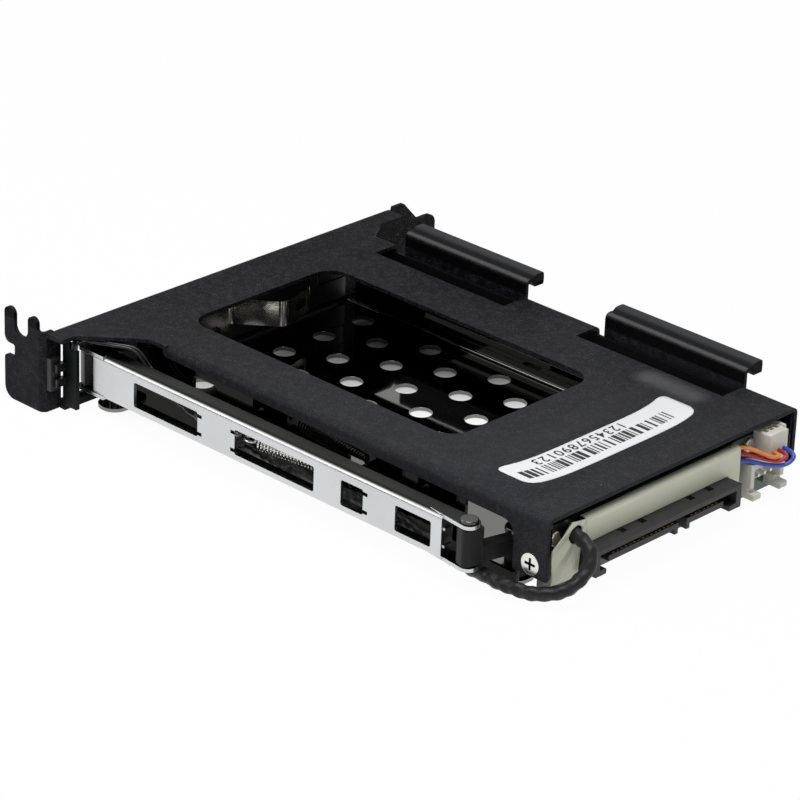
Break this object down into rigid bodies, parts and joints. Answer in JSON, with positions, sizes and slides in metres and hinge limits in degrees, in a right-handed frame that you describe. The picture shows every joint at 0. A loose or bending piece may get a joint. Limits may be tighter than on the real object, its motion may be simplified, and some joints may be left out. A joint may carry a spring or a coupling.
{
  "type": "hot swap drive cage",
  "caption": "Trayless hot swap cage for a small drive, fitted in an expansion slot: folded cover with bracket, vented tray, hinged door, sliding link and ejector lever.",
  "frame": {"origin": "centre of the bottom of the bounding box, on the plane that the tray and the bracket lie on", "axes": "+X into the computer, away from the bracket face; +Y along the bracket from ear to tongue; +Z from the tray floor to the cover"},
  "size_m": [0.1486, 0.12, 0.0223],
  "materials": {
    "powder_black": "fine textured powder coat",
    "plated_steel": "dark bright plating, mirror-like",
    "moulded_black": "satin moulded",
    "spring_steel": "bright rolled",
    "rivet_steel": "bright turned",
    "tinned_steel": "bright tin plate",
    "lever_black": "satin moulded",
    "spring_wire": "drawn wire",
    "board_green": "solder mask",
    "board_dark": "dark solder mask",
    "screw_nickel": "nickel plated",
    "connector_black": "glass-filled moulded",
    "contact_gold": "gold flash",
    "insulator_cream": "satin sheet",
    "nylon_white": "natural nylon",
    "contact_tin": "tinned",
    "wire_orange": "insulated wire",
    "wire_red": "insulated wire",
    "wire_blue": "insulated wire",
    "wire_black": "insulated wire",
    "lamp_clear": "clear moulded",
    "sleeve_black": "soft shrink sleeve"
  },
  "bodies": {
    "root": {"bracket_cover": "powder_black", "cage_tray": "plated_steel", "hinge_pin": "rivet_steel", "lever_pivot": "rivet_steel", "return_spring": "spring_wire", "backplane_board": "board_green", "board_screws": "screw_nickel", "drive_socket": "connector_black", "socket_contacts": "contact_gold", "rear_plug": "connector_black", "plug_contacts": "contact_gold", "insulator": "insulator_cream", "wafer_header": "nylon_white", "header_pins": "contact_tin", "wire_plug": "nylon_white", "orange_lead": "wire_orange", "red_lead": "wire_red", "blue_lead": "wire_blue", "led_board": "board_dark", "led_lamps": "lamp_clear", "light_pipes": "lamp_clear", "lamp_holder": "moulded_black", "leg_screw": "screw_nickel", "cable_sleeve": "sleeve_black", "lamp_wires": "wire_black"},
    "door": {"door_panel": "moulded_black", "door_leaf_spring": "spring_steel", "leaf_rivets": "rivet_steel", "crank_pin": "rivet_steel"},
    "link": {"channel_link": "tinned_steel", "link_rivet": "rivet_steel"},
    "lever": {"ejector_lever": "lever_black"},
    "catch": {"door_catch": "moulded_black"}
  },
  "joints": [
    {"name": "door_swing", "type": "hinge", "parent": "root", "child": "door", "pos_m": [-0.0549, -0.04601, 0.0085], "axis": [0, 0, 1], "range_deg": [0, 90]},
    {"name": "link_slide", "type": "slide", "parent": "root", "child": "link", "axis": [1, 0, 0], "range_m": [0, 0.00568], "deforming": ["return_spring"]},
    {"name": "lever_turn", "type": "hinge", "parent": "root", "child": "lever", "pos_m": [0.05553, -0.04016, 0.007], "axis": [0, 0, 1], "range_deg": [0, 28.81]},
    {"name": "catch_slide", "type": "slide", "parent": "door", "child": "catch", "axis": [0, 1, 0], "range_m": [0, 0.0016]}
  ],
  "couplings": [
    {"joint": "link_slide", "follows": "door_swing", "m_per_rad": 0.0036013},
    {"joint": "lever_turn", "follows": "door_swing", "ratio": 0.31904}
  ]
}
